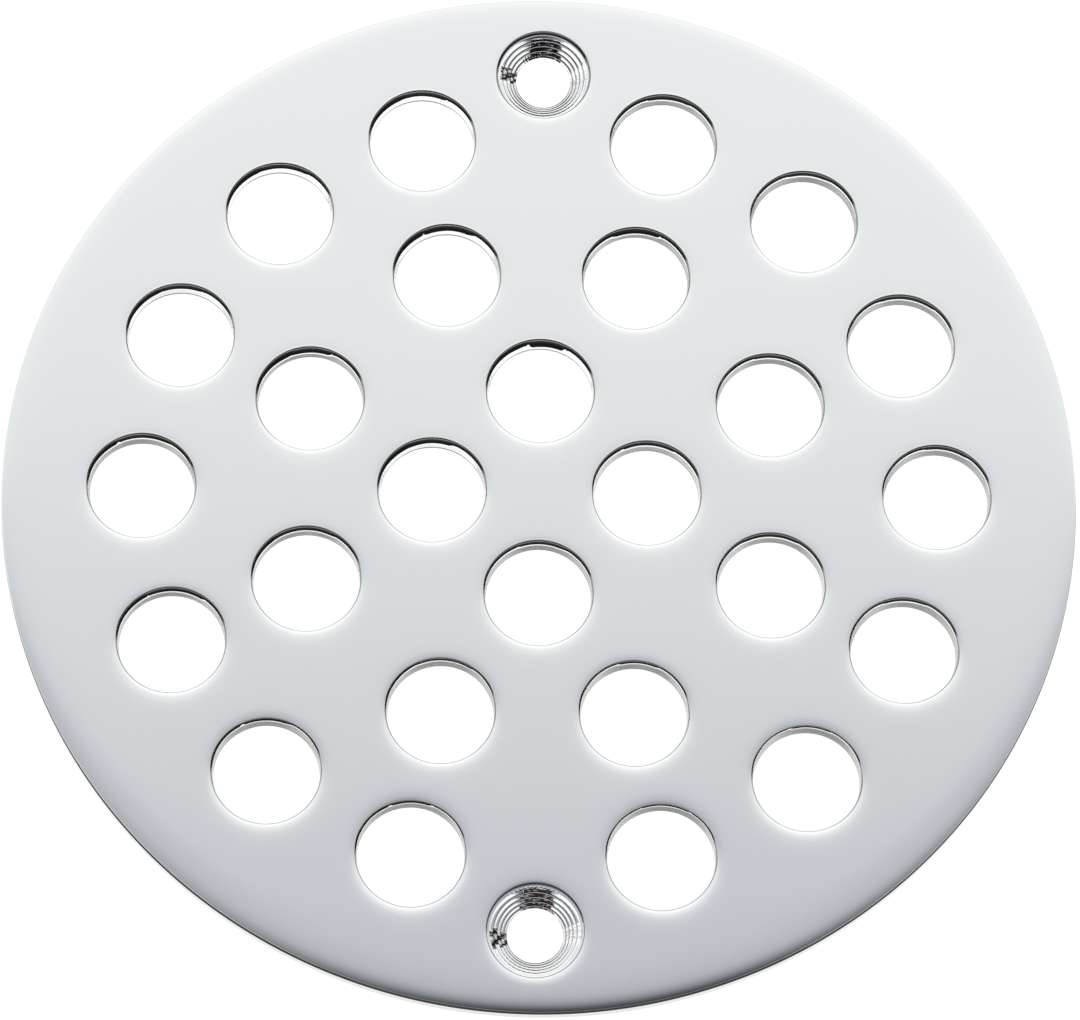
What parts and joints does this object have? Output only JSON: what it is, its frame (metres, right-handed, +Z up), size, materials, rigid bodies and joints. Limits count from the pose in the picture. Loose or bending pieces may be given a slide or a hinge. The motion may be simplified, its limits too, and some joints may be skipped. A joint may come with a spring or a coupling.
{
  "type": "floor drain grate",
  "caption": "Round flat chromed drain strainer plate with rings of round drain holes and countersunk screw holes on one diameter, for a shower or floor drain.",
  "frame": {"origin": "centre of the plate's underside, the face that rests on the drain body", "axes": "+Z up through the plate to the polished face; the two screw holes lie on the Y axis; X runs across between them"},
  "size_m": [0.1016, 0.1016, 0.002],
  "materials": {
    "polished_chrome": "buffed and chrome plated, mirror polish on the face, plating over punched walls in the holes"
  },
  "bodies": {
    "root": {"grate_plate": "polished_chrome"}
  },
  "joints": []
}
